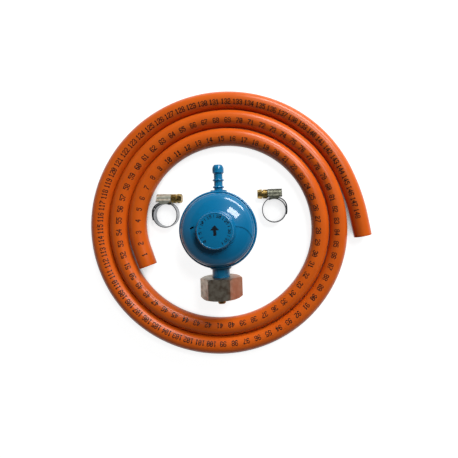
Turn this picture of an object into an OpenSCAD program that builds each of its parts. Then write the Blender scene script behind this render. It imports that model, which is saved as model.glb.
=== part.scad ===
// Propane regulator and hose kit: a low-pressure gas regulator, a coiled gas hose and two hose clamps.
// Millimetres. The origin is the centre of the regulator's back face, +Y runs from inlet to outlet, +Z is up.

/* [Hose] */
// Outside diameter of the hose
hose_od = 15; // [14:0.25:16]
// Bore of the hose
hose_bore = 8; // [6.5:0.25:9]
// Wall of the outer cover
hose_cover_wall = 1.7; // [1.2:0.1:2]
// Wall of the textile reinforcement
hose_textile_wall = 0.3; // [0.2:0.1:0.5]
// Length of the hose along its centreline
hose_length = 1500; // [1470:5:1530]
// Free gap between neighbouring turns of the coil
coil_gap = 0.5; // [0.45:0.05:0.8]
// Centreline radius of the innermost turn of the coil
coil_start_r = 70.6; // [70:0.2:73]

/* [Regulator body] */
// Height of the gas line above the back face
line_z = 17.5; // [17.4:0.1:18]
// Outside radius of the dish below its flange
dish_r = 27.6; // [27:0.1:28]
// Thickness of the dish's side wall
dish_wall = 3.1; // [2.4:0.1:3.4]
// Thickness of the dish's floor
floor_t = 3.2; // [2.4:0.1:4]
// Fillet between the back face and the side of the dish
dish_fillet = 8; // [6:0.5:9]
// Outside radius of the clamping flange
flange_r = 29.6; // [29.2:0.1:30.4]
// Height of the clamping flange's top face
flange_top = 26.6; // [26.6:0.1:28]
// Radius of the inlet stem
stem_r = 7.2; // [6.8:0.1:7.4]
// Distance from the centre to the end of the inlet stem
stem_end = 42; // [41:0.5:44]

/* [Hose barb] */
// Radius of the barb over its rings and its bulb
barb_r = 4.7; // [4.4:0.05:4.9]
// Radius of the barb's neck
barb_neck_r = 3.6; // [3.3:0.1:3.8]
// Distance from the centre to the tip of the barb
barb_tip = 52.8; // [51:0.2:55]
// Radius of the gas passage through the barb
barb_bore_r = 2.2; // [1.6:0.1:2.6]

/* [Bonnet] */
// Outside radius of the crimped rim
rim_r = 31; // [30.7:0.1:32]
// Wall of the bonnet's dome
bonnet_wall = 2.2; // [1.6:0.1:2.6]
// Radius of the dome's crown, seen in section
crown_r = 60; // [56:0.5:64]
// Radius of the dome's shoulder above the rim
shoulder_r = 8; // [7:0.25:9]
// Outside radius of the spring boss at its mouth
boss_r = 14.25; // [14:0.05:14.8]
// Height of the spring boss and its cap
boss_top = 48; // [47.6:0.1:50]

/* [Diaphragm and spring] */
// Thickness of the diaphragm
diaphragm_t = 1.2; // [0.8:0.1:1.6]
// Radius of the diaphragm plate
plate_r = 17.5; // [15:0.5:18]
// Wire diameter of the main spring
spring_wire = 1.5; // [1.2:0.1:1.6]
// Mean radius of the main spring
spring_r = 8.4; // [8.2:0.1:9.2]
// Working turns of the main spring
spring_turns = 4.5; // [3.5:0.5:4.5]

/* [Valve] */
// Distance from the centre to the lever pin
pin_y = 12; // [11.6:0.1:12.4]
// Height of the lever pin
pin_z = 12; // [11.6:0.1:12]
// Radius of the lever pin
pin_r = 1; // [0.8:0.05:1.1]
// Radius of the valve poppet
poppet_r = 3.9; // [3.7:0.05:4.05]
// Radius of the orifice in the inlet nipple
orifice_r = 1.2; // [0.6:0.1:1.4]
// Gap between the orifice and the valve pad at rest
valve_gap = 1.2; // [1.15:0.05:1.6]

/* [Inlet] */
// Width across the flats of the union nut
nut_af = 30; // [29:0.2:30]
// Length of the union nut
nut_l = 17; // [16:0.5:19]
// Radius of the nipple's nose
nose_r = 3.25; // [3:0.05:3.6]
// Length of the nose that stands out of the union nut
nose_out = 5; // [4:0.5:8]
// Radius of the nipple's collar inside the union nut
collar_r = 9.4; // [9:0.1:9.6]

/* [Hose clamps] */
// Inside radius of a clamp's ring
ring_r = 9.65; // [9.4:0.05:9.9]
// Width of the clamp band
band_w = 9; // [8:0.25:9.5]
// Thickness of the clamp band
band_t = 0.7; // [0.6:0.05:0.8]
// Distance from the ring's centre to the screw's axis
screw_y = 14.1; // [14.05:0.05:14.3]
// Pitch of the worm thread
worm_pitch = 3; // [2.6:0.1:3.2]
// Crest radius of the worm thread
worm_r = 3.2; // [3.15:0.05:3.25]
// Root radius of the worm thread
worm_root_r = 2.2; // [2:0.05:2.3]
// Width across the flats of the screw's head
head_af = 7; // [6:0.5:7.5]

/* [Hidden] */
$fn = 96;

blue = "#0b6e9e";
orange = "#d9601a";
brass = "#b8874a";
zinc = "#8e8f8c";
yellow_zinc = "#9a8a4e";
steel = "#b9bcc0";
rubber = "#26262a";

// Clearances
run_gap = 0.1;      // a part that turns or slides in another
free_gap = 0.3;     // parts that pass each other
seat_gap = 0.2;     // an end face beside a face that turns

// ---- Flat routes, each a list of stretches: [0, length] runs straight, [radius, angle] turns right ----
function after(p, s) =
    s[0] == 0
    ? [p[0] + s[1] * cos(p[2]), p[1] + s[1] * sin(p[2]), p[2]]
    : [p[0] + s[0] * (sin(p[2]) - sin(p[2] - s[1])),
       p[1] - s[0] * (cos(p[2]) - cos(p[2] - s[1])),
       p[2] - s[1]];
function length_of(s) = s[0] == 0 ? s[1] : s[0] * s[1] * PI / 180;
function part_of(s, d) = s[0] == 0 ? [0, d] : [s[0], d / s[0] * 180 / PI];
function poses(route, start) =
    [for (i = 0, p = start; i <= len(route); p = i < len(route) ? after(p, route[i]) : p, i = i + 1) p];
function along(route, p, d, i = 0) =
    i == len(route) - 1 || d <= length_of(route[i])
    ? after(p, part_of(route[i], d))
    : along(route, after(p, route[i]), d - length_of(route[i]), i + 1);
function total(v, n = -1, i = 0) = i == (n < 0 ? len(v) : n) ? 0 : v[i] + total(v, n, i + 1);

// One stretch of a route, with the flat section's +X on the outside of the bend and its +Y upwards. A bend
// is turned from whichever of its ends faces squarely along an axis, so that it meets its neighbour exactly.
module stretch(p, s) {
    leaves = p[2] - s[1];
    if (s[0] == 0)
        translate([p[0], p[1], 0]) rotate([0, 0, p[2]]) rotate([90, 0, 90])
            linear_extrude(s[1]) children();
    else
        translate([p[0] + s[0] * sin(p[2]), p[1] - s[0] * cos(p[2]), 0])
            rotate([0, 0, 90 + (leaves % 90 == 0 ? leaves : p[2])]) mirror([0, leaves % 90 == 0 ? 0 : 1, 0])
                rotate_extrude(angle = s[1]) translate([s[0], 0]) children();
}

// The stretches first..last of a route
module run(route, start, first, last) {
    at = poses(route, start);
    for (i = [first:last]) stretch(at[i], route[i]) children();
}

// ---- Hose ----
half_pitch = (hose_od + coil_gap) / 2;
coil_centre = [5.99, -0.39];    // centre of the upper half turns
coil_join = 153.2;          // where the upper half turns start, seen from their centre
end_straight = hose_od;     // both ends run straight for one diameter
start_slack = 4.6;          // the inner end bends tighter than the coil by this radius
start_angle = 45;
open_r = 160;               // the outer end lies in a wider bend
open_from = 128;            // how far the last turn goes on before it opens
half_turns = 4;
turn_r = [for (k = [1:half_turns + 1]) coil_start_r + k * half_pitch];
coil_known = concat(
    [[0, end_straight], [coil_start_r - start_slack, start_angle]],
    [for (k = [1:half_turns]) [turn_r[k - 1], 180]],
    [[turn_r[half_turns], open_from]]
);
open_l = hose_length - end_straight - total([for (s = coil_known) length_of(s)]);
hose_route = concat(coil_known, [part_of([open_r, 1], open_l), [0, end_straight]]);
hose_last = len(hose_route) - 1;
// the route is laid out from nothing, then turned and moved so that the first half turn is in place
loose_join = poses(hose_route, [0, 0, 0])[2];
hose_turn = coil_join - 90 - loose_join[2];
join_at = coil_centre + turn_r[0] * [cos(coil_join), sin(coil_join)];
hose_start = [
    join_at[0] - loose_join[0] * cos(hose_turn) + loose_join[1] * sin(hose_turn),
    join_at[1] - loose_join[0] * sin(hose_turn) - loose_join[1] * cos(hose_turn),
    hose_turn,
];
outer_join = poses(hose_route, hose_start)[hose_last];
layer_gap = 0.02;
hose_textile_od = hose_od - 2 * hose_cover_wall;
hose_liner_od = hose_textile_od - 2 * hose_textile_wall;

// least gap of the hose to itself, measured on points along its centreline
gap_step = 6;
gap_points = [for (d = [0:gap_step:hose_length]) let (p = along(hose_route, hose_start, d)) [p[0], p[1]]];
gap_skip = ceil(4 * hose_od / gap_step);
hose_least_gap = min([
    for (i = [0:len(gap_points) - 1]) for (j = [i + gap_skip:1:len(gap_points) - 1])
        norm(gap_points[i] - gap_points[j])
]) - hose_od;
echo(hose_least_gap = hose_least_gap, hose_ends = [hose_start, along(hose_route, hose_start, hose_length)]);

module ring_section(od, id) difference() {
    circle(d = od);
    circle(d = id);
}

// The wound stretch, with the line on which its half turns meet along X: they turn about two centres
module winding(od, id) {
    translate([coil_centre[0], coil_centre[1], hose_od / 2]) rotate([0, 0, coil_join]) {
        translate([turn_r[0] - hose_route[1][0], 0])
            rotate_extrude(angle = start_angle) translate([hose_route[1][0], 0]) ring_section(od, id);
        for (k = [0:half_turns]) let (r = turn_r[k], sweep = k < half_turns ? 180 : open_from)
            translate([k % 2 * half_pitch, 0]) mirror([0, 1 - k % 2, 0])
                rotate_extrude(angle = sweep) translate([r, 0]) ring_section(od, id);
    }
}

// The inner end is straight, and the outer end is a wide bend that runs out straight. Both are laid out
// from the section at which their straight piece starts or ends, and stop short of the winding by gap.
module inner_end(od, id, gap) {
    translate([hose_start[0], hose_start[1], hose_od / 2]) rotate([90, 0, 90 + hose_start[2]])
        linear_extrude(end_straight - gap) ring_section(od, id);
}

module outer_end(od, id, gap) {
    translate([outer_join[0], outer_join[1], hose_od / 2]) rotate([0, 0, outer_join[2]]) {
        rotate([90, 0, 90]) linear_extrude(end_straight) ring_section(od, id);
        translate([0, -open_r]) rotate([0, 0, 90])
            rotate_extrude(angle = hose_route[hose_last - 1][1] - part_of([open_r, 1], gap)[1])
                translate([open_r, 0]) ring_section(od, id);
    }
}

// The inner layers lie in three lengths, a hair apart, as the cover's stretches do
module hose_layer(od, id) {
    inner_end(od, id, layer_gap);
    winding(od, id);
    outer_end(od, id, layer_gap);
}

module hose_inner_end() color(orange) inner_end(hose_od, hose_textile_od, 0);
module hose_coil() color(orange) winding(hose_od, hose_textile_od);
module hose_outer_end() color(orange) outer_end(hose_od, hose_textile_od, 0);
module hose_reinforcement() color("#c9c3b4") hose_layer(hose_textile_od, hose_liner_od);
module hose_liner() color(rubber) hose_layer(hose_liner_od, hose_bore);

// ---- Regulator ----
// a round bar on the gas line, from y0 to y1
module bar(y0, y1, r0, r1 = 0) {
    translate([0, y0, line_z]) rotate([-90, 0, 0])
        cylinder(h = y1 - y0, r1 = r0, r2 = r1 == 0 ? r0 : r1);
}

flange_step = 1.8;                              // height of the bevel under the flange
flange_edge = 2.4;                              // height of the flange's edge
bevel_top = flange_top - flange_edge;
bevel_bottom = bevel_top - flange_step;
chamber_r = dish_r - dish_wall;
chamber_fillet = dish_fillet - dish_wall;
lip_r = (dish_r + flange_r) / 2 + 0.3;          // how far the crimped lip reaches in under the flange
boss_limit = bevel_bottom - free_gap;           // the pipe bosses stay below the crimped lip
inlet_boss_r = 8.6;
inlet_boss_end = rim_r + 1.2;                   // both bosses reach out from under the crimped rim
outlet_boss_r = 6.8;
outlet_boss_end = rim_r + 1;
guide_r = 5.6;                                  // the cast tube round the valve
guide_end = pin_y + 2.4;
lip_y = 20;                                     // the orifice's lip
window_w = 2.4;
post_t = 2.5;
lever_w = 4;
post_gap = lever_w / 2 + free_gap;
hub_r = 1.7;
shank_r = poppet_r + run_gap;                   // one bore holds the poppet and the nipple's shank
ring_land = 0.75;                               // radius of the edge of the barb's rings
barb_rings = [barb_tip - 18.2, barb_tip - 12.5];
bulb_start = barb_tip - 6.9;
bulb_land = 3;
groove_r = [13, 15];                            // turned groove in the back face
groove_d = 0.6;

module filleted(r, fillet, z0, z1) {
    square([r - fillet, z1 - z0]);
    translate([0, fillet]) square([r, z1 - z0 - fillet]);
    translate([r - fillet, fillet]) circle(fillet);
}

module barb() {
    bar(outlet_boss_end - 1, bulb_start + 1, barb_neck_r);
    for (y = barb_rings) translate([0, y, line_z]) rotate([-90, 0, 0])
        rotate_extrude() translate([barb_r - ring_land, 0]) circle(ring_land);
    bar(bulb_start - 0.6, bulb_start + 0.5, barb_neck_r, barb_r);
    bar(bulb_start + 0.5, bulb_start + 0.5 + bulb_land, barb_r);
    intersection() {
        translate([0, bulb_start + 0.5 + bulb_land, line_z]) sphere(barb_r);
        bar(bulb_start + 1, barb_tip, barb_r + 1);
    }
}

module regulator_body() color(blue) difference() {
    union() {
        rotate_extrude() {
            filleted(dish_r, dish_fillet, 0, flange_top);
            polygon([
                [0, bevel_bottom], [dish_r, bevel_bottom], [flange_r, bevel_top],
                [flange_r, flange_top], [0, flange_top],
            ]);
        }
        intersection() {
            union() {
                bar(-inlet_boss_end, -lip_y, inlet_boss_r);
                bar(lip_y, outlet_boss_end, outlet_boss_r);
            }
            translate([-rim_r, -stem_end, 0]) cube([2 * rim_r, 2 * stem_end, boss_limit]);
        }
        bar(-stem_end, -rim_r - free_gap, stem_r);
        barb();
    }
    difference() {
        rotate_extrude() translate([0, floor_t]) filleted(chamber_r, chamber_fillet, floor_t, flange_top + 1);
        bar(-chamber_r - 2, -guide_end, guide_r);
        for (side = [-1, 1]) lever_post(side);
    }
    bar(-stem_end - 1, -guide_end + 1, shank_r);
    bar(chamber_r - 2, barb_tip + 1, barb_bore_r);
    translate([-guide_r, -lip_y - 0.4, line_z - shank_r + 0.8])
        cube([2 * guide_r, window_w, 2 * shank_r - 1.6]);
    translate([-post_gap - post_t - 1, -pin_y, pin_z]) rotate([0, 90, 0])
        cylinder(h = 2 * (post_gap + post_t + 1), r = pin_r);
    rotate_extrude() translate([groove_r[0], -1]) square([groove_r[1] - groove_r[0], 1 + groove_d]);
}

module lever_post(side) {
    translate([side > 0 ? post_gap : -post_gap - post_t, -pin_y - hub_r, 0]) {
        cube([post_t, 2 * hub_r, pin_z]);
        translate([0, hub_r, pin_z]) rotate([0, 90, 0]) cylinder(h = post_t, r = hub_r);
    }
}

module lever_pin() color(steel) translate([-post_gap - post_t, -pin_y, pin_z]) rotate([0, 90, 0])
    cylinder(h = 2 * (post_gap + post_t), r = pin_r);

// The bonnet's dome is a shallow crown that runs into a rounded shoulder just inside the rim
rim_top = flange_top + diaphragm_t + 1.8;
rim_roll = 1.1;                                 // height and depth of the rim's rolled edge
dome_r = flange_r - 0.1;
shoulder_at = [dome_r - shoulder_r, rim_top - 0.5];
crown_z = shoulder_at[1] - sqrt((crown_r - shoulder_r) ^ 2 - shoulder_at[0] ^ 2);
shoulder_angle = atan2(shoulder_at[1] - crown_z, shoulder_at[0]);
crown_end = 81;                                 // the crown's line ends inside the boss at this angle
boss_foot_r = boss_r + 1.35;
dome_top = crown_z + sqrt(crown_r ^ 2 - boss_foot_r ^ 2);
bonnet_under = flange_top + diaphragm_t;
skirt_r = flange_r + free_gap / 2;
lip_bottom = bevel_bottom + 0.1;
cap_r = boss_r - 0.2;
cap_t = 3;
cap_edge = 0.9;                                 // rounding of the cap's edge
cap_spigot = 1;                                 // depth to which the cap sits in the bore
cap_seat = boss_top - cap_t;
spring_bore = 10.6;
screw_h = 3.6;
spring_top = cap_seat - cap_spigot - screw_h - 0.4;
notch_angle = -38;
notch_w = 2.2;
notch_d = 1.6;
vent_at = [-18.6, 2.5];
vent_angle = 30;
vent_l = 2.6;
vent_r = 0.6;
bead_centre = [15.2, -9.5];
bead_r = 12.5;
bead_w = 0.8;
bead_h = 0.4;

// A line over the dome at height grow above its face, from the rim to within the boss
function dome_line(grow, shoulder_steps, crown_steps) = concat(
    [for (i = [0:shoulder_steps]) let (a = shoulder_angle * i / shoulder_steps)
        shoulder_at + (shoulder_r + grow) * [cos(a), sin(a)]],
    [for (i = [1:crown_steps]) let (a = shoulder_angle + (crown_end - shoulder_angle) * i / crown_steps)
        [0, crown_z] + (crown_r + grow) * [cos(a), sin(a)]]
);

function reversed(v) = [for (i = [len(v) - 1:-1:0]) v[i]];

module dome_shell(extra) polygon(concat(
    [[dome_r - bonnet_wall, rim_top - rim_roll], [dome_r + extra, rim_top - rim_roll]],
    dome_line(extra, 9, 6),
    reversed(dome_line(-bonnet_wall, 5, 4))
));

module bonnet() color(blue) difference() {
    union() {
        rotate_extrude() difference() {
            union() {
                dome_shell(0);
                polygon([    // crimped rim: land on the diaphragm, rolled edge, skirt and lip
                    [chamber_r, bonnet_under], [skirt_r, bonnet_under], [skirt_r, bevel_top - seat_gap],
                    [lip_r, bevel_bottom + flange_step * (lip_r - dish_r) / (flange_r - dish_r) - seat_gap],
                    [lip_r, lip_bottom], [rim_r - 0.7, lip_bottom], [rim_r, lip_bottom + 0.7],
                    [rim_r, rim_top - rim_roll], [rim_r - 0.2, rim_top - 0.4], [rim_r - 0.7, rim_top],
                    [rim_r - rim_roll, rim_top], [dome_r, shoulder_at[1]], [chamber_r, shoulder_at[1]],
                ]);
                polygon([    // spring boss with a little draft
                    [spring_bore, dome_top - 6], [boss_foot_r - 1, dome_top - 2], [boss_foot_r, dome_top - 1],
                    [boss_foot_r - 0.4, dome_top + 0.6], [boss_r, cap_seat], [spring_bore, cap_seat],
                ]);
            }
            square([spring_bore, boss_top]);
        }
        intersection() {    // raised bead that curves from the boss to the rim
            rotate_extrude() dome_shell(bead_h);
            translate([bead_centre[0], bead_centre[1], bonnet_under]) rotate([0, 0, 14])
                rotate_extrude(angle = 76) translate([bead_r - bead_w / 2, 0]) square([bead_w, boss_top]);
        }
    }
    translate([vent_at[0], vent_at[1], bonnet_under]) rotate([0, 0, vent_angle]) {
        for (side = [-1, 1]) translate([side * vent_l / 2, 0]) cylinder(h = boss_top, r = vent_r);
        translate([-vent_l / 2, -vent_r, 0]) cube([vent_l, 2 * vent_r, boss_top]);
    }
}

module bonnet_cap() color(blue) translate([0, 0, cap_seat]) difference() {
    rotate_extrude() polygon(concat(
        [[0, cap_t], [0, -cap_spigot], [spring_bore, -cap_spigot], [spring_bore, 0], [cap_r, 0]],
        [for (a = [0:30:90]) [cap_r - cap_edge + cap_edge * cos(a), cap_t - cap_edge + cap_edge * sin(a)]]
    ));
    rotate([0, 0, notch_angle]) translate([cap_r - notch_d, -notch_w / 2, cap_t - notch_d])
        cube([notch_d + 1, notch_w, notch_d + 1]);
}

roll_r = 2.75;
roll_at = (plate_r + chamber_r) / 2 + 0.5;
post_r = 1.8;
post_sleeve_r = 2.5;

module diaphragm() color(rubber) translate([0, 0, flange_top]) rotate_extrude() difference() {
    union() {
        translate([post_sleeve_r + free_gap, 0]) square([roll_at - post_sleeve_r - free_gap, diaphragm_t]);
        translate([roll_at, 0]) square([flange_r - roll_at, diaphragm_t]);
        intersection() {
            translate([roll_at, 0]) circle(roll_r);
            translate([roll_at - roll_r, 0]) square([2 * roll_r, roll_r]);
        }
    }
    translate([roll_at, -0.01]) circle(roll_r - diaphragm_t);
}

plate_t = 1;
plate_z = bonnet_under + run_gap;
collar_z = pin_z + 1.7;         // the sleeve ends above the lever's fork
foot_z = pin_z - 2.8;           // the post's foot ends below it
foot_r = 3.2;
spring_steps = 8;
spring_seat_r = (spring_r - spring_wire / 2) * cos(180 / spring_steps) - run_gap;

module diaphragm_plate() color(steel) {
    rotate_extrude() polygon([
        [0, foot_z], [foot_r, foot_z], [foot_r, foot_z + 1.1], [post_r, foot_z + 1.1],
        [post_r, collar_z], [foot_r, collar_z], [foot_r, collar_z + 1], [post_sleeve_r, collar_z + 1.5],
        [post_sleeve_r, plate_z], [plate_r, plate_z], [plate_r, plate_z + 1.8], [plate_r - 0.8, plate_z + 1.8],
        [plate_r - 0.8, plate_z + plate_t], [spring_seat_r, plate_z + plate_t],
        [spring_seat_r - 0.4, plate_z + 2.8], [0, plate_z + 2.8],
    ]);
}

spring_bottom = plate_z + plate_t;
spring_z0 = spring_bottom + spring_wire / 2;
spring_z1 = spring_top - spring_wire / 2;
spring_pitch = (spring_z1 - spring_z0) / spring_turns;
echo(main_spring_least_gap = spring_pitch - spring_wire);

// A tube through rings of points: the rings have the same number of points
function tube_faces(rings, sides) = concat(
    [for (j = [0:rings - 2]) for (i = [0:sides - 1]) each let (
        a = j * sides + i, b = j * sides + (i + 1) % sides, c = a + sides, d = b + sides
    ) [[a, b, d], [a, d, c]]],
    [for (i = [1:sides - 2]) [0, i + 1, i]],
    [for (i = [1:sides - 2]) (rings - 1) * sides * [1, 1, 1] + [0, i, i + 1]]
);

spring_sides = 6;
spring_rings = spring_turns * spring_steps + 1;

module main_spring() color(steel) polyhedron(
    points = [
        for (j = [0:spring_rings - 1]) for (i = [0:spring_sides - 1]) let (
            turn = 360 * j / spring_steps, side = -360 * i / spring_sides,
            r = spring_r + spring_wire / 2 * cos(side),
            z = spring_z0 + spring_pitch * j / spring_steps + spring_wire / 2 * sin(side)
        ) [r * cos(turn), r * sin(turn), z]
    ],
    faces = tube_faces(spring_rings, spring_sides)
);

key_af = 8;

module adjusting_screw() color(brass) translate([0, 0, spring_top]) difference() {
    cylinder(h = screw_h, r = spring_bore - run_gap);
    translate([0, 0, 1]) cylinder(h = screw_h, d = key_af / cos(30), $fn = 6);
    translate([0, 0, -1]) cylinder(h = screw_h, r = 2);
}

// Valve lever: a long arm with a fork under the diaphragm's post and a short arm in the poppet
short_arm = line_z - pin_z;
tip_r = 0.9;
fork_l = 2.5;
fork_t = 1.4;
fork_slot = 2 * post_r + 0.8;
fork_w = fork_slot + 3.2;
lever_arm_w = 3.4;
short_w = 2.4;

module valve_lever() color(steel) difference() {
    union() {
        translate([-lever_w / 2, -pin_y, pin_z]) rotate([0, 90, 0]) cylinder(h = lever_w, r = hub_r);
        translate([-short_w / 2, -pin_y - 0.6, pin_z]) cube([short_w, 1.2, short_arm]);
        translate([-short_w / 2, -pin_y, line_z]) rotate([0, 90, 0]) cylinder(h = short_w, r = tip_r);
        translate([-lever_arm_w / 2, -pin_y, pin_z - fork_t / 2]) cube([lever_arm_w, pin_y - 3, fork_t]);
        translate([-fork_w / 2, -4.6, pin_z - fork_t / 2]) cube([fork_w, 4.6 + fork_l, fork_t]);
    }
    translate([-fork_slot / 2, -2.6, pin_z - fork_t]) cube([fork_slot, fork_l + 3, 2 * fork_t]);
    translate([-lever_w, -pin_y, pin_z]) rotate([0, 90, 0]) cylinder(h = 2 * lever_w, r = pin_r + run_gap / 2);
}

pad_t = 1.6;
pad_r = 2.6;
pad_face = lip_y - valve_gap;
poppet_end = pin_y - 2.2;

module valve_pad() color(rubber) bar(-pad_face, -pad_face + pad_t, pad_r);

module valve_poppet() color(brass) difference() {
    bar(-pad_face + 0.3, -poppet_end, poppet_r);
    bar(-pad_face, -pad_face + pad_t, pad_r);
    translate([-short_w / 2 - free_gap, -pin_y - tip_r - 0.2, line_z - poppet_r - 1])
        cube([short_w + 2 * free_gap, 2 * tip_r + 0.9, poppet_r + 1 + tip_r + 0.3]);
}

nut_front = stem_end - 3 + nut_l;
collar_t = 4;
seal_t = 2;
nipple_step_r = 5;
nose_start = stem_end + collar_t + seal_t + 0.5;
nose_tip = nut_front + nose_out;
nose_step = 0.9;            // the nose is thicker inside the nut by this radius
passage_r = 1.7;
lip_w = 0.7;

module inlet_nipple() color(brass) difference() {
    union() {
        bar(-lip_y - 1, -lip_y, orifice_r + 1.4, orifice_r + lip_w);
        bar(-lip_y - 3, -lip_y - 1, orifice_r + 1.4);
        bar(-stem_end, -lip_y - 3, shank_r);
        bar(-stem_end - collar_t, -stem_end, collar_r);
        bar(-nose_start, -stem_end - collar_t, nipple_step_r);
        bar(-nut_front, -nose_start, nose_r + nose_step);
        bar(-nose_tip + 0.8, -nut_front, nose_r);
        bar(-nose_tip, -nose_tip + 0.8, nose_r - 0.6, nose_r);
    }
    bar(-nose_tip - 1, -lip_y - 2, passage_r);
    bar(-lip_y - 3, -lip_y + 1, orifice_r);
}

module inlet_seal() color(rubber) difference() {
    bar(-stem_end - collar_t - seal_t, -stem_end - collar_t, collar_r - 0.4);
    bar(-stem_end - collar_t - seal_t - 1, -stem_end - collar_t + 1, nipple_step_r);
}

nut_wall = 3 - seat_gap;
nut_bore_r = collar_r + 0.5;
nut_chamfer = 1.2;
nut_face_r = nut_af / 2 + 0.2;
nut_corner_r = nut_af / 2 / cos(30);

module union_nut() color(zinc) translate([0, -stem_end + 3, line_z]) rotate([90, 0, 0]) difference() {
    intersection() {
        cylinder(h = nut_l, r = nut_corner_r, $fn = 6);
        rotate_extrude() polygon([
            [0, 0], [nut_face_r, 0], [nut_corner_r + 0.1, nut_chamfer],
            [nut_corner_r + 0.1, nut_l - nut_chamfer], [nut_face_r, nut_l], [0, nut_l],
        ]);
    }
    translate([0, 0, -1]) cylinder(h = nut_wall + 2, r = stem_r + free_gap);
    translate([0, 0, nut_wall]) cylinder(h = nut_l, r = nut_bore_r);
    translate([0, 0, nut_l - 1]) cylinder(h = 1.01, r1 = nut_bore_r, r2 = nut_bore_r + 1);
}

// ---- Hose clamps: the ring's axis is upright and the screw lies over its +Y side ----
band_mid = ring_r + band_t / 2;
layer_mid = band_mid + band_t + run_gap;        // the tail lies over the ring's own end
band_start = 115;
rise = 1;
flat_l = 2.7;
tail_r = 8.3;
tail_end = 20;
band_route = [
    [band_mid, band_start + 180], [0, rise], [layer_mid - rise, 90], [0, flat_l],
    [tail_r, 90], [0, layer_mid - tail_r], [layer_mid, tail_end],
];
band_from = [band_mid * cos(band_start), band_mid * sin(band_start), band_start - 90];
// distance along the band to the point under the middle of the worm
mesh_at = total([for (s = band_route) length_of(s)], 3) - (layer_mid - rise - band_mid);
slot_l = 6;
slot_w = 1.3;
slot_tilt = atan(worm_pitch / (2 * PI * worm_r));
slots_before = 2;
slots_after = 6;

module clamp_band() color(zinc) difference() {
    translate([0, 0, band_w / 2]) run(band_route, band_from, 0, len(band_route) - 1)
        square([band_t, band_w], center = true);
    for (k = [-slots_before:slots_after]) let (p = along(band_route, band_from, mesh_at + k * worm_pitch))
        translate([p[0], p[1], band_w / 2]) rotate([0, 0, p[2]]) rotate([0, -slot_tilt, 0])
            cube([slot_w, band_t + 1.8 * run_gap, slot_l], center = true);
}

housing_x = [-5.2, 6.9];
housing_wall = 0.8;
tunnel_r = worm_r + 0.2;
tunnel_or = tunnel_r + housing_wall;
plate_gap = 0.2;
housing_w = band_w + 2 * (plate_gap + housing_wall);
skirt_y = 11.5;
foot_bottom = ring_r + run_gap;
bar_x = [1.8, 3.2];
front_wall = 0.8;

module across(z) translate([0, 0, band_w / 2 + z]) children();

module clamp_housing() color(zinc) {
    difference() {
        translate([housing_x[0], 0, band_w / 2]) rotate([90, 0, 90]) linear_extrude(housing_x[1] - housing_x[0]) {
            translate([screw_y, 0]) circle(tunnel_or);
            polygon([
                [skirt_y, -housing_w / 2], [skirt_y + 1.1, -housing_w / 2], [screw_y, -tunnel_or],
                [screw_y, tunnel_or], [skirt_y + 1.1, housing_w / 2], [skirt_y, housing_w / 2],
            ]);
        }
        translate([housing_x[0] + front_wall, 0, band_w / 2]) rotate([90, 0, 90])
            linear_extrude(housing_x[1] - housing_x[0]) housing_inside();
        translate([housing_x[0] - 1, 0, band_w / 2]) rotate([90, 0, 90]) linear_extrude(front_wall + 2) {
            translate([screw_y, 0]) circle(worm_root_r + run_gap);
            translate([0, -band_w / 2 - plate_gap]) square([skirt_y + 0.5, band_w + 2 * plate_gap]);
        }
        translate([housing_x[0] - 1, 0, -band_w]) cube([20, skirt_y, 3 * band_w]);
    }
    for (side = [-1, 1])
        across(side > 0 ? housing_w / 2 - housing_wall : -housing_w / 2) linear_extrude(housing_wall) polygon([
            [-4.2, skirt_y + 0.2], [4.8, skirt_y + 0.2], [4, 10.3], [3.4, foot_bottom],
            [-2.4, foot_bottom], [-3.2, 10.3],
        ]);
    difference() {    // bar between the two layers of the band, on the ring's own end
        across(-housing_w / 2) translate([bar_x[0], foot_bottom, 0])
            cube([bar_x[1] - bar_x[0], band_mid + band_t / 2 - foot_bottom, housing_w]);
        translate([0, 0, -band_w]) cylinder(h = 3 * band_w, r = band_mid + band_t / 2);
    }
}

module housing_inside() {
    translate([screw_y, 0]) circle(tunnel_r);
    polygon([
        [skirt_y - 1, -band_w / 2 - plate_gap], [skirt_y + 0.8, -band_w / 2 - plate_gap], [screw_y, -tunnel_r],
        [screw_y, tunnel_r], [skirt_y + 0.8, band_w / 2 + plate_gap], [skirt_y - 1, band_w / 2 + plate_gap],
    ]);
}

head_l = 3.9;
head_turned_r = head_af / 2 - 0.1;
screw_collar_r = 3.9;
screw_collar_l = 4.3;
screw_bevel = 0.5;
waist_r = 3;            // neck between the head and the collar
waist_l = 0.5;
collar_x = housing_x[0] - run_gap;
waist_x = collar_x - screw_collar_l;
head_x = waist_x - waist_l;
worm_steps = 16;
worm_turns = 2.75;
worm_from = -1.25;      // in turns, from the crest under the screw's middle
worm_x = [housing_x[0] + front_wall + run_gap, 6.2];
crest_w = 0.7;
thread_foot_w = 1.7;

function crest(j, n) = worm_root_r + (worm_r - worm_root_r) * min(1, 0.25 + j / 3, 0.25 + (n - j) / 3);

module worm_thread() {
    rings = worm_turns * worm_steps + 1;
    polyhedron(
        points = [
            for (j = [0:rings - 1]) let (
                turn = worm_from + j / worm_steps, angle = 180 + 360 * turn,
                x = worm_pitch * turn, top = crest(j, rings - 1)
            ) each [
                for (c = [[-thread_foot_w / 2, worm_root_r - 0.3], [-crest_w / 2, top],
                          [crest_w / 2, top], [thread_foot_w / 2, worm_root_r - 0.3]])
                    [x + c[0], c[1] * cos(angle), c[1] * sin(angle)]
            ]
        ],
        faces = tube_faces(rings, 4)
    );
}

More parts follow.
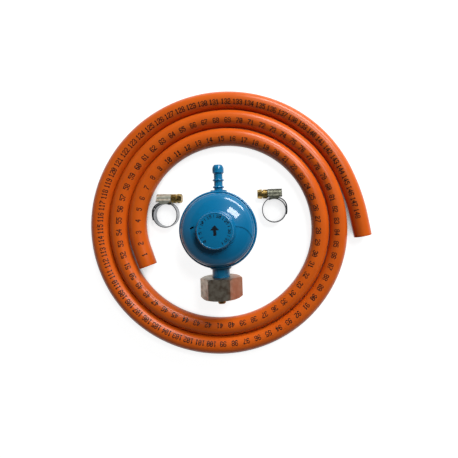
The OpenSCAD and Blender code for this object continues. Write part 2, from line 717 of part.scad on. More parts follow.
module clamp_screw() color(yellow_zinc) translate([0, screw_y, band_w / 2]) difference() {
    union() {
        rotate([0, 90, 0]) {
            translate([0, 0, head_x - head_l]) intersection() {
                rotate([0, 0, 30]) cylinder(h = head_l, d = head_af / cos(30), $fn = 6);
                cylinder(h = head_l, r1 = head_turned_r, r2 = head_turned_r + head_l);
            }
            rotate_extrude() polygon([
                [0, head_x - 1], [waist_r, head_x - 1], [waist_r, waist_x], [screw_collar_r - screw_bevel, waist_x],
                [screw_collar_r, waist_x + screw_bevel], [screw_collar_r, collar_x - screw_bevel],
                [screw_collar_r - screw_bevel, collar_x], [worm_root_r, collar_x], [worm_root_r, worm_x[1]],
                [0, worm_x[1]],
            ]);
        }
        worm_thread();
    }
    translate([head_x - head_l - 1, -head_af, -0.6]) cube([1 + 1.7, 2 * head_af, 1.2]);
}

// A clamp stands on the edge of its housing and on the far edge of its band
lean = atan((housing_w - band_w) / 2 / (ring_r + band_t + foot_bottom));
left_at = [-47.01, 13.18];
right_at = [45.68, 14.67];

module left_place() translate([left_at[0], left_at[1], (ring_r + band_t) * sin(lean)]) rotate([lean, 0, 0])
    translate([0, 0, band_w]) rotate([0, 180, 0]) children();
module right_place() translate([right_at[0], right_at[1], (ring_r + band_t) * sin(lean)]) rotate([lean, 0, 0])
    children();

module left_clamp_band() left_place() clamp_band();
module left_clamp_housing() left_place() clamp_housing();
module left_clamp_screw() left_place() clamp_screw();
module right_clamp_band() right_place() clamp_band();
module right_clamp_housing() right_place() clamp_housing();
module right_clamp_screw() right_place() clamp_screw();

regulator_body();
bonnet();
bonnet_cap();
diaphragm();
diaphragm_plate();
main_spring();
adjusting_screw();
valve_lever();
lever_pin();
valve_poppet();
valve_pad();
inlet_nipple();
inlet_seal();
union_nut();
hose_inner_end();
hose_coil();
hose_outer_end();
hose_reinforcement();
hose_liner();
left_clamp_band();
left_clamp_housing();
left_clamp_screw();
right_clamp_band();
right_clamp_housing();
right_clamp_screw();
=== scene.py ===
# %% [markdown]
# # A propane regulator and hose kit, laid flat
#
# The solids of the rigid pieces come from a CAD model, which is loaded first as a fixed frame. This
# notebook gives them their finishes, winds the hose, prints its length scale and sets up a plain studio.
# Everything is in metres, and a millimetre is written as MM.

# %% Load the CAD model as the frame
import math

import bpy
import numpy as np
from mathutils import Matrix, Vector


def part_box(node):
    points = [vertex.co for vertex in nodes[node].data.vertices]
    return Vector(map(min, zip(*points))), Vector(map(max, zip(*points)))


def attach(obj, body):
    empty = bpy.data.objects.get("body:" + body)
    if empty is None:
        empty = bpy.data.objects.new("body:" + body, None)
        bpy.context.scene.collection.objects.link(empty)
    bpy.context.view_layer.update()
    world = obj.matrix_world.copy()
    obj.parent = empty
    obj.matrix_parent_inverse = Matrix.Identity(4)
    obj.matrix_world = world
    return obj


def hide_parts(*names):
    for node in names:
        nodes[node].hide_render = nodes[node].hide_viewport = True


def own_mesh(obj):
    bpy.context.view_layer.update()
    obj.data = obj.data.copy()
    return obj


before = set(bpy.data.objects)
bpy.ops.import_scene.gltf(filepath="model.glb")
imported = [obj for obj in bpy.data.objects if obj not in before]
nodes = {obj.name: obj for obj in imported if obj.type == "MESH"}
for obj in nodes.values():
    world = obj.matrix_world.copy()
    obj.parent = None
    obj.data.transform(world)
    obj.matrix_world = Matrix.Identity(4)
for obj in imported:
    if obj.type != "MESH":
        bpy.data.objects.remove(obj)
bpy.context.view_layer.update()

MM = 0.001
scene = bpy.context.scene

# %% [markdown]
# ## The camera
#
# A shift of the lens frames it without that, as on a copy stand. The camera is rolled by 1.8 degrees,
# because the regulator lies a little askew under it.

# %% A camera on a copy stand
SENSOR = 36.0                   # width of the sensor in mm
PICTURE = 458                   # width and height of the picture in pixels
FOCAL_PX = 349                  # focal length of the lens in pixels
UNDER_LENS_PX = (263, 215)      # the pixel that shows the ground straight below the lens
CAMERA_AT = (35.93 * MM, 10.6 * MM, 305 * MM)
CAMERA_ROLL = math.radians(-1.8)

lens_data = bpy.data.cameras.new("copy_stand")
lens_data.sensor_width = SENSOR
lens_data.lens = SENSOR * FOCAL_PX / PICTURE
lens_data.shift_x = (PICTURE / 2 - UNDER_LENS_PX[0]) / PICTURE
lens_data.shift_y = (UNDER_LENS_PX[1] - PICTURE / 2) / PICTURE
camera = bpy.data.objects.new("copy_stand", lens_data)
camera.location = CAMERA_AT
camera.rotation_euler = (0.0, 0.0, CAMERA_ROLL)
scene.collection.objects.link(camera)
scene.camera = camera
print("lens", round(lens_data.lens, 2), "mm at", camera.location[:])

# %% [markdown]
# ## The line that the hose follows
#
# A gas hose is wound on a drum when it is new, and it keeps that bend. Laid on a table it springs open into
# a flat spiral whose turns lie beside each other. The spiral is made of half turns about two centres half a
# pitch apart, which is how a spiral is drawn with a compass: each half turn meets the next smoothly.
# Whole arrays of distances are turned into points at once.

# %% The route: straight pieces and bends to the right
HOSE_R = 7.5 * MM
HALF_PITCH = 7.75 * MM          # half of the hose's diameter and the free gap between two turns
COIL_START_R = 70.6 * MM
COIL_CENTRE = np.array([5.99, -0.39]) * MM
COIL_JOIN = math.radians(153.2)     # where the first half turn starts, seen from the coil's centre
HALF_TURNS = 4
HOSE_LENGTH = 1500 * MM
END_STRAIGHT = 15 * MM
START_SLACK = 4.6 * MM          # the inner end bends tighter than the coil by this radius
START_ANGLE = math.radians(45)
OPEN_FROM = math.radians(128)   # how far the last turn goes on before it opens
OPEN_R = 160 * MM

turn_r = [COIL_START_R + k * HALF_PITCH for k in range(1, HALF_TURNS + 2)]
stretches = [(0.0, END_STRAIGHT), (COIL_START_R - START_SLACK, START_ANGLE)]
stretches += [(r, math.pi) for r in turn_r[:HALF_TURNS]]
stretches += [(turn_r[HALF_TURNS], OPEN_FROM)]


def stretch_length(stretch):
    """A straight piece is (0, length); a bend is (radius, angle), and is radius times angle long."""
    return stretch[1] if stretch[0] == 0 else stretch[0] * stretch[1]


open_length = HOSE_LENGTH - END_STRAIGHT - sum(stretch_length(s) for s in stretches)
stretches += [(OPEN_R, open_length / OPEN_R), (0.0, END_STRAIGHT)]


def pose_after(pose, stretch, distance):
    """The point and heading after going a distance into a stretch. In a bend to the right the heading falls
    by distance / radius, and the point moves by radius times the change of (sin, -cos) of the heading."""
    x, y, heading = pose
    radius = stretch[0]
    if radius == 0:
        return x + distance * np.cos(heading), y + distance * np.sin(heading), heading + 0 * distance
    turned = heading - distance / radius
    return (
        x + radius * (np.sin(heading) - np.sin(turned)),
        y - radius * (np.cos(heading) - np.cos(turned)),
        turned,
    )


def route_starts(first):
    """The pose at the start of every stretch, from the pose at the start of the first one."""
    poses = [first]
    for stretch in stretches:
        poses.append(pose_after(poses[-1], stretch, stretch_length(stretch)))
    return poses


loose = route_starts((0.0, 0.0, 0.0))[2]
turn = COIL_JOIN - math.pi / 2 - loose[2]
join = COIL_CENTRE + turn_r[0] * np.array([math.cos(COIL_JOIN), math.sin(COIL_JOIN)])
hose_start = (
    join[0] - loose[0] * math.cos(turn) + loose[1] * math.sin(turn),
    join[1] - loose[0] * math.sin(turn) - loose[1] * math.cos(turn),
    turn,
)
starts = route_starts(hose_start)
begins = np.cumsum([0.0] + [stretch_length(s) for s in stretches])


def on_route(distance):
    """Points (n, 3) on the hose's centreline and headings (n), for an array of distances from its start."""
    distance = np.asarray(distance, float)
    points = np.empty((len(distance), 3))
    headings = np.empty(len(distance))
    which = np.clip(np.searchsorted(begins, distance, side="right") - 1, 0, len(stretches) - 1)
    for k, stretch in enumerate(stretches):
        here = which == k
        x, y, heading = pose_after(starts[k], stretch, distance[here] - begins[k])
        points[here] = np.column_stack([x, y, np.full(here.sum(), HOSE_R)])
        headings[here] = heading
    return points, headings


print("hose:", round(begins[-1], 4), "m, from", [round(v, 5) for v in hose_start[:2]])

# %% [markdown]
# ## Helpers for colours, nodes and meshes
#
# Colours are picked as sRGB hex values, but shaders work in linear light, so one function converts them.
# Another adds a shader node with its settings and its links in one line. A mesh is written as whole arrays
# of corner points and faces, which is much faster than adding them one at a time.

# %% Colour, node and mesh helpers
def linear(hex_colour):
    """sRGB hex to linear RGBA: c / 12.92 below 0.04045, and ((c + 0.055) / 1.055) ^ 2.4 above it."""
    c = np.array([int(hex_colour[i:i + 2], 16) for i in (1, 3, 5)]) / 255
    c = np.where(c <= 0.04045, c / 12.92, ((c + 0.055) / 1.055) ** 2.4)
    return (*c.tolist(), 1.0)


def add(tree, kind, inputs=None, **settings):
    """Adds a shader node. settings are its own properties, and inputs maps a socket to a value, or to the
    output socket that feeds it."""
    node = tree.nodes.new(kind)
    for key, value in settings.items():
        setattr(node, key, value)
    for key, value in (inputs or {}).items():
        if isinstance(value, bpy.types.NodeSocket):
            tree.links.new(value, node.inputs[key])
        else:
            node.inputs[key].default_value = value
    return node


def new_finish(name):
    """An empty material and its shader. Object coordinates are in metres, so a scale of 1000 is 1 mm."""
    finish = bpy.data.materials.new(name)
    finish.use_nodes = True
    tree = finish.node_tree
    shader = tree.nodes["Principled BSDF"]
    return finish, tree, shader


def two_colours(tree, factor, low, high):
    """A colour that goes from low to high with the factor."""
    ramp = add(tree, "ShaderNodeMix", {0: factor}, data_type="RGBA")
    ramp.inputs[6].default_value = linear(low)
    ramp.inputs[7].default_value = linear(high)
    return ramp.outputs[2]


def make_piece(name, points, faces, body, finish, sharp=35.0, uv=None):
    """A mesh from points (n, 3) and a list of face arrays, each with 3 or 4 corners a row. Edges sharper
    than the angle stay crisp, and the rest shade smoothly. uv gives two numbers for each point."""
    mesh = bpy.data.meshes.new(name)
    corners = np.concatenate([f.ravel() for f in faces]).astype(np.int32)
    sizes = np.concatenate([np.full(len(f), f.shape[1]) for f in faces])
    mesh.vertices.add(len(points))
    mesh.vertices.foreach_set("co", np.ascontiguousarray(points, np.float32).ravel())
    mesh.loops.add(len(corners))
    mesh.loops.foreach_set("vertex_index", corners)
    mesh.polygons.add(len(sizes))
    mesh.polygons.foreach_set("loop_start", (np.cumsum(sizes) - sizes).astype(np.int32))
    mesh.update(calc_edges=True)
    mesh.shade_smooth()
    mesh.set_sharp_from_angle(angle=math.radians(sharp))
    if uv is not None:
        layer = mesh.uv_layers.new(name="surface")
        layer.uv.foreach_set("vector", np.ascontiguousarray(uv[corners], np.float32).ravel())
    mesh.materials.append(finish)
    piece = bpy.data.objects.new(name, mesh)
    scene.collection.objects.link(piece)
    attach(piece, body)
    return piece


def quads(rows, columns, close_rows=False):
    """Faces between neighbouring rows of a grid of points whose columns run round and close. With
    close_rows the last row joins the first one as well."""
    row = np.arange(rows if close_rows else rows - 1)[:, None]
    column = np.arange(columns)[None, :]
    next_row = (row + 1) % rows
    next_column = (column + 1) % columns
    corners = [
        row * columns + column, row * columns + next_column,
        next_row * columns + next_column, next_row * columns + column,
    ]
    return np.stack(corners, axis=-1).reshape(-1, 4)


# %% [markdown]
# ## Orange gas hose
#
# A low-pressure gas hose is extruded rubber in three layers: a dark liner that the gas touches, a braid of
# pale yarn that holds the pressure, and an orange cover that resists weather. The extruder leaves the cover
# satin, with very faint lines along it. Rubber is not metallic, has an IOR near 1.5, and its sheen comes
# from a middling roughness. The colour is nearly even, a little mottled over a few centimetres.

# %% Finishes of the three layers
cover_finish, tree, shader = new_finish("extruded_orange_rubber")
where = add(tree, "ShaderNodeTexCoord").outputs
mottle = add(tree, "ShaderNodeTexNoise", {"Vector": where["Object"], "Scale": 60.0, "Detail": 3.0})
colour = two_colours(tree, mottle.outputs["Fac"], "#CC540F", "#DA6418")
tree.links.new(colour, shader.inputs["Base Color"])
# extrusion lines: bands about 0.6 mm apart round the hose, which run along it
round_hose = add(tree, "ShaderNodeMapping", {"Vector": where["UV"], "Scale": (75.0, 3.0, 1.0)})
lines = add(tree, "ShaderNodeTexNoise", {"Vector": round_hose.outputs[0], "Scale": 1.0, "Detail": 2.0})
grain = add(tree, "ShaderNodeTexNoise", {"Vector": where["Object"], "Scale": 1600.0, "Detail": 2.0})
height = add(tree, "ShaderNodeMath", {0: lines.outputs["Fac"], 1: grain.outputs["Fac"]}, operation="ADD")
bump = add(tree, "ShaderNodeBump", {"Height": height.outputs[0], "Strength": 0.12, "Distance": 0.0001})
tree.links.new(bump.outputs[0], shader.inputs["Normal"])
shader.inputs["Roughness"].default_value = 0.28
shader.inputs["IOR"].default_value = 1.5
shader.inputs["Specular IOR Level"].default_value = 0.3

braid_finish, tree, shader = new_finish("braided_polyester_yarn")
where = add(tree, "ShaderNodeTexCoord").outputs
weave = add(tree, "ShaderNodeTexChecker", {"Vector": where["Object"], "Scale": 1200.0})
weave.inputs["Color1"].default_value = linear("#D8D2BE")
weave.inputs["Color2"].default_value = linear("#A79F88")
tree.links.new(weave.outputs["Color"], shader.inputs["Base Color"])
shader.inputs["Roughness"].default_value = 0.85

liner_finish, tree, shader = new_finish("black_nitrile_rubber")
where = add(tree, "ShaderNodeTexCoord").outputs
bloom = add(tree, "ShaderNodeTexNoise", {"Vector": where["Object"], "Scale": 500.0, "Detail": 4.0})
tree.links.new(two_colours(tree, bloom.outputs["Fac"], "#141416", "#26262A"), shader.inputs["Base Color"])
shader.inputs["Roughness"].default_value = 0.6
shader.inputs["IOR"].default_value = 1.5

# %% [markdown]
# ## Winding the hose
#
# Each layer is a tube with an outer wall, an inner wall and two cut faces. It could be a curve with a bevel,
# but a curve has no wall, and the cut ends show all three layers. So a ring of points is carried along the
# route: at every distance the ring stands square to the heading. The cut edges are rounded a little by
# three extra rings, as a knife leaves rubber.

# %% Tubes carried along the route
SIDES = 64
COVER_BORE_R = 5.8 * MM
LINER_R = 5.5 * MM
BORE_R = 4.0 * MM
LAYER_GAP = 0.01 * MM           # the braid stays this far off the cover and the liner
CORD_POINTS = 301


def carried_ring(distance, radius):
    """Rings (n, SIDES, 3): centre + radius x (cos a x side + sin a x up), where side points to the outside
    of the bend. radius may be one number or one for each distance."""
    points, heading = on_route(distance)
    a = np.linspace(0, 2 * np.pi, SIDES, endpoint=False)
    side = np.column_stack([-np.sin(heading), np.cos(heading), np.zeros(len(heading))])
    radius = np.broadcast_to(radius, len(heading))[:, None, None]
    return (
        points[:, None, :]
        + radius * np.cos(a)[None, :, None] * side[:, None, :]
        + radius * np.sin(a)[None, :, None] * np.array([0, 0, 1.0])
    )


def layer_of_hose(name, outer, inner, outer_step, inner_step, finish, edge=0.25 * MM):
    """A closed tube. Its rows go out along the outer wall and back along the inner one, and the last row
    joins the first across the cut face. Near each end the outer radius falls along a quarter circle."""
    quarter = np.radians([0, 30, 60, 90])
    corner = edge * (1 - np.cos(quarter))
    drop = edge * (1 - np.sin(quarter))
    middle = np.linspace(edge, HOSE_LENGTH - edge, int(HOSE_LENGTH / outer_step))
    out_s = np.concatenate([corner[:-1], middle, HOSE_LENGTH - corner[:-1][::-1]])
    out_r = np.concatenate([outer - drop[:-1], np.full(len(middle), outer), outer - drop[:-1][::-1]])
    back_s = np.linspace(HOSE_LENGTH, 0, int(HOSE_LENGTH / inner_step))
    out_s[0], out_s[-1] = 0.0, HOSE_LENGTH
    s = np.concatenate([out_s, back_s])
    r = np.concatenate([out_r, np.full(len(back_s), inner)])
    points = carried_ring(s, r).reshape(-1, 3)
    around = np.tile(np.linspace(0, 1, SIDES, endpoint=False), len(s))
    uv = np.column_stack([around, np.repeat(s, SIDES) * 100])
    faces = quads(len(s), SIDES, close_rows=True)[:, ::-1]
    return make_piece(name, points, [faces], "hose", finish, uv=uv)


cover = layer_of_hose("hose_cover", HOSE_R, COVER_BORE_R, 2 * MM, 8 * MM, cover_finish)
braid = layer_of_hose(
    "hose_braid", COVER_BORE_R - LAYER_GAP, LINER_R + LAYER_GAP, 8 * MM, 10 * MM, braid_finish,
    edge=0.05 * MM,
)
liner = layer_of_hose("hose_bore_liner", LINER_R, BORE_R, 8 * MM, 6 * MM, liner_finish)
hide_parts("hose_inner_end", "hose_coil", "hose_outer_end")
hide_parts("hose_reinforcement")
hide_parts("hose_liner")
centreline = on_route(np.linspace(0, HOSE_LENGTH, CORD_POINTS))[0]
print("cover:", len(cover.data.polygons), "faces")

# %% [markdown]
# ## A length scale printed on the hose
#
# An ink-jet head beside the extruder prints the hose as it passes, in dots. Here it is a plain length
# scale: the distance from the end in centimetres, every 10 mm, in bold tall digits. Each dot is a small
# flat square laid on the rubber, and the squares overlap into strokes. The digits are the usual five by
# seven dots of such printers, written below as five columns of bits.

# %% Ink dots on the hose
ink_finish, tree, shader = new_finish("black_marking_ink")
where = add(tree, "ShaderNodeTexCoord").outputs
patch = add(tree, "ShaderNodeTexNoise", {"Vector": where["Object"], "Scale": 700.0, "Detail": 2.0})
tree.links.new(two_colours(tree, patch.outputs["Fac"], "#0E0704", "#2B150B"), shader.inputs["Base Color"])
shader.inputs["Roughness"].default_value = 0.5
shader.inputs["Specular IOR Level"].default_value = 0.3

DIGITS = {
    "0": (62, 81, 73, 69, 62), "1": (0, 66, 127, 64, 0), "2": (98, 81, 73, 73, 70),
    "3": (34, 65, 73, 73, 54), "4": (24, 20, 18, 127, 16), "5": (39, 69, 69, 69, 57),
    "6": (62, 73, 73, 73, 50), "7": (1, 113, 9, 5, 3), "8": (54, 73, 73, 73, 54), "9": (38, 73, 73, 73, 62),
}
DIGIT_ROWS = 7
DIGIT_COLUMNS = 6               # five of dots and one of space
INK_GAP = 0.03 * MM             # the ink stays this far off the surface


def number_dots(number):
    """Columns and rows (n, 2) of a number's dots, counted from its left and its bottom. Bit 0 of a column
    is its top dot."""
    found = []
    for place, digit in enumerate(str(number)):
        bits = np.array(DIGITS[digit])[:, None] >> np.arange(DIGIT_ROWS)[None, :] & 1
        column, row = np.nonzero(bits)
        found.append(np.column_stack([column + DIGIT_COLUMNS * place, DIGIT_ROWS - 1 - row]))
    return np.concatenate(found)


def number_middle(number):
    """The column halfway between a number's first column of dots and its last."""
    return (DIGIT_COLUMNS * len(str(number)) - 2) / 2


def dot_corners(centres, half):
    """The corners (4n, 2) of squares round centres (n, 2), and their faces."""
    square = np.array([[-1, -1], [1, -1], [1, 1], [-1, 1]]) * half
    corners = (centres[:, None, :] + square[None, :, :]).reshape(-1, 2)
    return corners, np.arange(len(corners)).reshape(-1, 4)


PRINT_ALONG = 0.47 * MM         # pitch of the dots along the hose
PRINT_ACROSS = 0.62 * MM        # and round it
PRINT_DOT = 0.36 * MM           # half the side of a dot
PRINT_AT = math.radians(90 + 21)    # from the outside of the bend: past the top by 21 degrees
CENTIMETRE = 10 * MM
LAST_CENTIMETRE = 148

marks = []
for centimetre in range(1, LAST_CENTIMETRE + 1):
    dots = number_dots(centimetre) - [number_middle(centimetre), DIGIT_ROWS // 2]
    marks.append(dots * [PRINT_ALONG, PRINT_ACROSS] + [centimetre * CENTIMETRE, 0])
flat, faces = dot_corners(np.concatenate(marks), PRINT_DOT)


def on_cover(along, across):
    """Points on the rubber: along is a distance on the route, and across one round the hose from the line
    of print. The print leans towards the inside of the coil."""
    centre, heading = on_route(along)
    a = PRINT_AT + across / HOSE_R
    side = np.column_stack([-np.sin(heading), np.cos(heading), 0 * heading])
    reach = HOSE_R + INK_GAP
    return centre + reach * (np.cos(a)[:, None] * side + np.sin(a)[:, None] * np.array([0, 0, 1.0]))


# the route runs clockwise, so on its inner side a reader's text runs along it with its top outwards
ink = make_piece(
    "hose_length_scale", on_cover(flat[:, 0], -flat[:, 1]), [faces], "hose", ink_finish,
    sharp=180,
)
print("length scale:", len(faces), "dots")

# %% [markdown]
# ## Rounding the shading of the CAD parts
#
# A CAD solid arrives as loose triangles, so light breaks on every one of them. Its shape is right and stays
# as it is. A small geometry-nodes modifier joins the triangles' corners as the scene is evaluated, shades
# them smoothly, and keeps every edge sharper than 28 degrees crisp, or 42 under paint.

# %% A modifier that joins and smooths
def joined_and_smooth(sharp):
    """A node group: merge by distance, shade all faces smooth, then mark the edges sharper than an angle."""
    group = bpy.data.node_groups.new("joined_and_smooth_" + str(sharp), "GeometryNodeTree")
    group.interface.new_socket("Geometry", in_out="INPUT", socket_type="NodeSocketGeometry")
    group.interface.new_socket("Geometry", in_out="OUTPUT", socket_type="NodeSocketGeometry")
    begin, end = group.nodes.new("NodeGroupInput"), group.nodes.new("NodeGroupOutput")
    merge = add(group, "GeometryNodeMergeByDistance", {"Geometry": begin.outputs[0], "Distance": 1e-6})
    smooth = add(group, "GeometryNodeSetShadeSmooth", {"Geometry": merge.outputs[0], "Shade Smooth": True})
    angle = add(group, "GeometryNodeInputMeshEdgeAngle")
    steep = add(
        group, "FunctionNodeCompare", {0: angle.outputs[0], 1: math.radians(sharp)}, operation="GREATER_THAN",
    )
    crisp = add(
        group, "GeometryNodeSetShadeSmooth",
        {"Geometry": smooth.outputs[0], "Selection": steep.outputs[0], "Shade Smooth": False}, domain="EDGE",
    )
    group.links.new(crisp.outputs[0], end.inputs[0])
    return group


machined_edges = joined_and_smooth(28)
painted_edges = joined_and_smooth(42)      # paint rounds the edges that it flows over


def finish_node(name, finish, smoothing=machined_edges):
    """Gives a CAD node its finish and a smoothing modifier."""
    node = nodes[name]
    node.data.materials.clear()
    node.data.materials.append(finish)
    node.modifiers.new("smoothing", "NODES").node_group = smoothing


# %% [markdown]
# ## Blue enamel on cast and pressed metal
#
# The regulator's dish is die-cast zinc and its bonnet is pressed steel, and both are coated in one glossy
# blue enamel after they are crimped together. Such enamel flows before it sets and leaves orange peel:
# waves about 2 mm long and a few micrometres high, which make reflections wobble. Its gloss is a clear coat
# over a rougher coloured film.

# %% Enamel
enamel, tree, shader = new_finish("glossy_enamel")
where = add(tree, "ShaderNodeTexCoord").outputs
tone = add(tree, "ShaderNodeTexNoise", {"Vector": where["Object"], "Scale": 45.0, "Detail": 2.0})
tree.links.new(two_colours(tree, tone.outputs["Fac"], "#006899", "#0678A6"), shader.inputs["Base Color"])
peel = add(tree, "ShaderNodeTexNoise", {"Vector": where["Object"], "Scale": 500.0, "Detail": 1.0})
bump = add(tree, "ShaderNodeBump", {"Height": peel.outputs["Fac"], "Strength": 0.12, "Distance": 0.0002})
tree.links.new(bump.outputs[0], shader.inputs["Normal"])
tree.links.new(bump.outputs[0], shader.inputs["Coat Normal"])
shader.inputs["Roughness"].default_value = 0.32
shader.inputs["Specular IOR Level"].default_value = 0.15
shader.inputs["Coat Weight"].default_value = 0.8
shader.inputs["Coat Roughness"].default_value = 0.07
for name in ("regulator_body", "bonnet", "bonnet_cap"):
    finish_node(name, enamel, painted_edges)

# %% [markdown]
# ## Plain marks on the cap
#
# A pad-printed dial: small numbers round the cap with a tick between each two, and an arrow from the inlet
# to the outlet. The same dots are used, bent round a circle: a point u along a line of print and v above it
# goes to radius r + v and to an angle that falls by u / r, so the tops of the digits point outwards.

# %% Dial and arrow
CAP_TOP = 48 * MM + INK_GAP
DIAL_R = 10.0 * MM
DIAL_PITCH = 0.3 * MM           # pitch of the dots
DIAL_DOT = 0.2 * MM             # half the side of a dot
DIAL_NUMBERS = 8
DIAL_COUNT = 5                  # the dial counts in fives
DIAL_FROM = 225                 # angle of the first number
DIAL_STEP = 38                  # angle from a number to the next, clockwise

dial = []
for step in range(DIAL_NUMBERS):
    angle = math.radians(DIAL_FROM - DIAL_STEP * step)
    number = DIAL_COUNT * step
    at = (number_dots(number) - [number_middle(number), 0]) * DIAL_PITCH
    dial.append(np.column_stack([angle - at[:, 0] / DIAL_R, DIAL_R + at[:, 1]]))
    tick = np.arange(DIGIT_ROWS) * DIAL_PITCH
    tick_angle = angle - math.radians(DIAL_STEP / 2)
    dial.append(np.column_stack([np.full(DIGIT_ROWS, tick_angle), DIAL_R + tick]))
dial = np.concatenate(dial)
centres = dial[:, 1:] * np.column_stack([np.cos(dial[:, 0]), np.sin(dial[:, 0])])
flat, faces = dot_corners(centres, DIAL_DOT)
marks_finish, tree, shader = new_finish("dark_pad_print")
shader.inputs["Base Color"].default_value = linear("#010E1A")
shader.inputs["Roughness"].default_value = 0.4
make_piece(
    "cap_dial", np.column_stack([flat, np.full(len(flat), CAP_TOP)]), [faces], "regulator",
    marks_finish, sharp=180,
)
arrow = np.array([
    [-1.1, -3.6], [1.1, -3.6], [1.1, 0.4], [-1.1, 0.4], [-3.4, 0.4], [3.4, 0.4], [0, 4.2],
]) * MM
make_piece(
    "cap_flow_arrow", np.column_stack([arrow, np.full(len(arrow), CAP_TOP)]),
    [np.array([[0, 1, 2, 3]]), np.array([[4, 5, 6]])], "regulator", marks_finish, sharp=180,
)

# the enamel gathers in a low bead round the edge of the cap, a ring of circles half sunk in its top
BEAD_R = 13.05 * MM
BEAD_WIDE = 0.4 * MM
BEAD_Z = 47.85 * MM
BEAD_SIDES = 12
BEAD_RINGS = 128
round_cap = np.linspace(0, 2 * np.pi, BEAD_RINGS, endpoint=False)[:, None]
round_bead = np.linspace(0, 2 * np.pi, BEAD_SIDES, endpoint=False)[None, :]
reach = BEAD_R + BEAD_WIDE * np.cos(round_bead)
bead = np.stack([
    reach * np.cos(round_cap),
    reach * np.sin(round_cap),
    BEAD_Z + BEAD_WIDE * np.sin(round_bead) + 0 * round_cap,
], axis=-1).reshape(-1, 3)
make_piece(
    "cap_edge_bead", bead, [quads(BEAD_RINGS, BEAD_SIDES, close_rows=True)], "regulator",
    enamel,
)

# %% [markdown]
# ## Plated and plain metals
#
# The union nut is nickel-plated brass that has tarnished: its faces go from grey to a warm brown, and on
# one side a copper tone is painted in, as a painted reflection of the orange hose. The nipple in it is bare
# turned brass. The clamps' bands are rolled stainless steel, their housings are zinc-plated, with the right
# one a darker copy as painted shade, and their screws are passivated yellow, a film whose colour drifts from
# straw to olive. All are metallic, with the default IOR, and differ in colour and in how rough rolling,
# turning and plating leave them.

# %% Metals
def plated(name, low, high, patch_mm, roughness, scratch_mm=0.3, depth=0.05):
    """A metal whose colour drifts between two tones over patches, with fine scratches in its bump."""
    finish, tree, shader = new_finish(name)
    where = add(tree, "ShaderNodeTexCoord").outputs
    patches = add(
        tree, "ShaderNodeTexNoise", {"Vector": where["Object"], "Scale": 1000 / patch_mm, "Detail": 4.0},
    )
    spread = add(
        tree, "ShaderNodeMapRange", {"Value": patches.outputs["Fac"], "From Min": 0.35, "From Max": 0.65},
    )
    tree.links.new(two_colours(tree, spread.outputs[0], low, high), shader.inputs["Base Color"])
    fine = add(
        tree, "ShaderNodeTexNoise", {"Vector": where["Object"], "Scale": 1000 / scratch_mm, "Detail": 3.0},
    )
    bump = add(tree, "ShaderNodeBump", {"Height": fine.outputs["Fac"], "Strength": depth, "Distance": 0.0002})
    tree.links.new(bump.outputs[0], shader.inputs["Normal"])
    shader.inputs["Metallic"].default_value = 1.0
    shader.inputs["Roughness"].default_value = roughness
    return finish


tarnished = plated("tarnished_nickel_plate", "#857667", "#B5AC9C", 4.0, 0.42, 0.5, 0.3)
turned_brass = plated("turned_brass", "#86602F", "#A47E4A", 4.0, 0.32)
bright_zinc = plated("bright_zinc_plate", "#C6C8B6", "#E8EADC", 3.0, 0.45, 0.25, 0.15)
# the right housing gets a darker copy of the same zinc plate, as painted shade
shaded_zinc_copy = plated("zinc_plate_painted_shade", "#45463C", "#7B7C6E", 2.0, 0.42, 0.25, 0.15)
rolled_steel = plated("rolled_stainless_strip", "#606266", "#8E9094", 5.0, 0.26)
yellow_zinc = plated("yellow_passivated_zinc", "#7C6331", "#DCBC74", 1.8, 0.28, 0.3, 0.1)

# the nut's tone goes over to copper along its X: a painted reflection of the orange hose on that side
HOSE_REFLECTION_FROM = 6 * MM
HOSE_REFLECTION_TO = 11 * MM
HOSE_REFLECTION_SHARE = 0.7
tree = tarnished.node_tree
nut_position = add(tree, "ShaderNodeSeparateXYZ", {0: add(tree, "ShaderNodeTexCoord").outputs["Object"]})
reflection_share = add(
    tree, "ShaderNodeMapRange",
    {"Value": nut_position.outputs["X"], "From Min": HOSE_REFLECTION_FROM, "From Max": HOSE_REFLECTION_TO, "To Max": HOSE_REFLECTION_SHARE},
)
base = tree.nodes["Principled BSDF"].inputs["Base Color"]
nickel = base.links[0].from_socket
painted_hose_reflection = add(tree, "ShaderNodeMix", {0: reflection_share.outputs[0], 6: nickel}, data_type="RGBA")
painted_hose_reflection.inputs[7].default_value = linear("#C4805C")
tree.links.new(painted_hose_reflection.outputs[2], base)
spring_steel = plated("spring_steel", "#6B6D70", "#9A9DA0", 3.0, 0.35)

for name in ("inlet_nipple", "valve_poppet", "adjusting_screw"):
    finish_node(name, turned_brass)
for name in ("diaphragm_plate", "valve_lever", "lever_pin"):
    finish_node(name, spring_steel)
for name in ("diaphragm", "valve_pad", "inlet_seal"):
    finish_node(name, liner_finish)
finish_node("union_nut", tarnished)
for side, zinc_plate in (("left", bright_zinc), ("right", shaded_zinc_copy)):
    finish_node(side + "_clamp_band", rolled_steel)
    finish_node(side + "_clamp_housing", zinc_plate)
    finish_node(side + "_clamp_screw", yellow_zinc)
